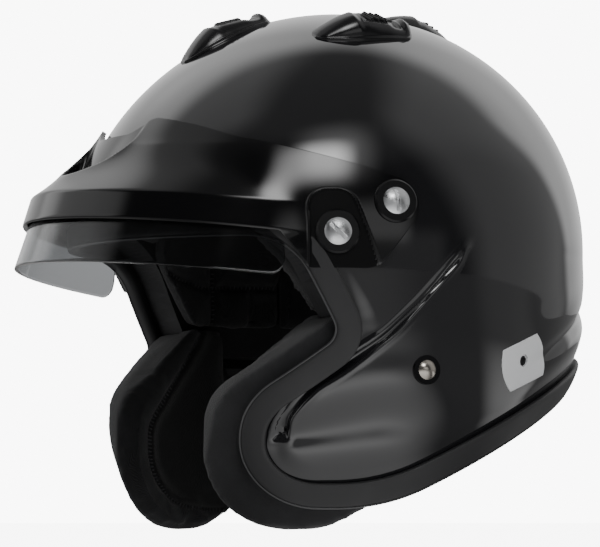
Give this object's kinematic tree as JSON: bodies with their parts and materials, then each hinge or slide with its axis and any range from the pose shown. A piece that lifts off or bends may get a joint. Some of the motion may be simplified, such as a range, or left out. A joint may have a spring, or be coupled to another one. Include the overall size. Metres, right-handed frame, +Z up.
{
  "type": "auto racing helmet",
  "caption": "Open-face auto racing helmet: gloss black shell with a bolted peak and smoked shade, teardrop roof vents with sliders, padded lining and a chin strap on swinging hangers.",
  "frame": {"origin": "on the helmet's middle plane, under the centre of the shell's widest ring, at the height of the cheek pads' lowest point: the mount head_opening", "axes": "+Z up through the crown as worn, -Y out of the face opening, +X to the wearer's left"},
  "size_m": [0.2512, 0.301, 0.2691],
  "materials": {
    "shell_gloss_black": "deep black gel coat, polished",
    "peak_black": "black moulded plastic, satin gloss",
    "trim_rubber": "dull black extruded rubber",
    "liner_foam": "black expanded bead foam",
    "lining_fabric": "dark grey brushed knit over foam",
    "plate_plastic": "thin black moulded plate",
    "smoke_shade": "smoke tinted clear plastic",
    "screw_aluminium": "brushed aluminium",
    "washer_black": "black moulded ring",
    "bright_steel": "plated steel, brushed",
    "webbing": "woven black webbing",
    "ring_chrome": "polished plated wire",
    "vent_black": "black moulded plastic, satin gloss"
  },
  "bodies": {
    "helmet": {"outer_shell": "shell_gloss_black", "edge_trim": "trim_rubber", "impact_liner": "liner_foam", "crown_pad": "lining_fabric", "brow_pad": "lining_fabric", "temple_pad_left": "lining_fabric", "temple_pad_right": "lining_fabric", "rear_pad": "lining_fabric", "cheek_pad_left": "lining_fabric", "cheek_pad_right": "lining_fabric", "cheek_plate_left": "plate_plastic", "cheek_plate_right": "plate_plastic", "neck_roll": "lining_fabric", "peak": "peak_black", "peak_shade": "smoke_shade", "peak_screw_front_left": "screw_aluminium", "peak_screw_front_right": "screw_aluminium", "peak_screw_rear_left": "screw_aluminium", "peak_screw_rear_right": "screw_aluminium", "peak_washers": "washer_black", "peak_nuts": "bright_steel", "vent_front": "vent_black", "vent_left": "vent_black", "vent_right": "vent_black", "vent_rear": "vent_black", "anchor_terminal_left": "bright_steel", "anchor_terminal_right": "bright_steel", "rivet_rings": "washer_black", "strap_rivet_left": "bright_steel", "strap_rivet_right": "bright_steel"},
    "chin_strap": {"strap_hanger_left": "bright_steel", "strap_hanger_right": "bright_steel", "chin_strap_left": "webbing", "chin_strap_right": "webbing", "strap_rings": "ring_chrome", "strap_snap": "bright_steel"},
    "slider_front": {"vent_slider_front": "vent_black"},
    "slider_left": {"vent_slider_left": "vent_black"},
    "slider_right": {"vent_slider_right": "vent_black"},
    "slider_rear": {"vent_slider_rear": "vent_black"}
  },
  "joints": [
    {"name": "strap_swing", "type": "hinge", "parent": "helmet", "child": "chin_strap", "pos_m": [0, -0.0055, 0.0775], "axis": [1, 0, 0], "range_deg": [-2, 30]},
    {"name": "slider_front_slide", "type": "slide", "parent": "helmet", "child": "slider_front", "axis": [0, 0.9625, 0.2713], "range_m": [0, 0.006]},
    {"name": "slider_left_slide", "type": "slide", "parent": "helmet", "child": "slider_left", "axis": [-0.0441, 0.9958, -0.0808], "range_m": [0, 0.006]},
    {"name": "slider_right_slide", "type": "slide", "parent": "helmet", "child": "slider_right", "axis": [0.0441, 0.9958, -0.0808], "range_m": [0, 0.006]},
    {"name": "slider_rear_slide", "type": "slide", "parent": "helmet", "child": "slider_rear", "axis": [0, 0.8777, -0.4792], "range_m": [0, 0.006]}
  ]
}
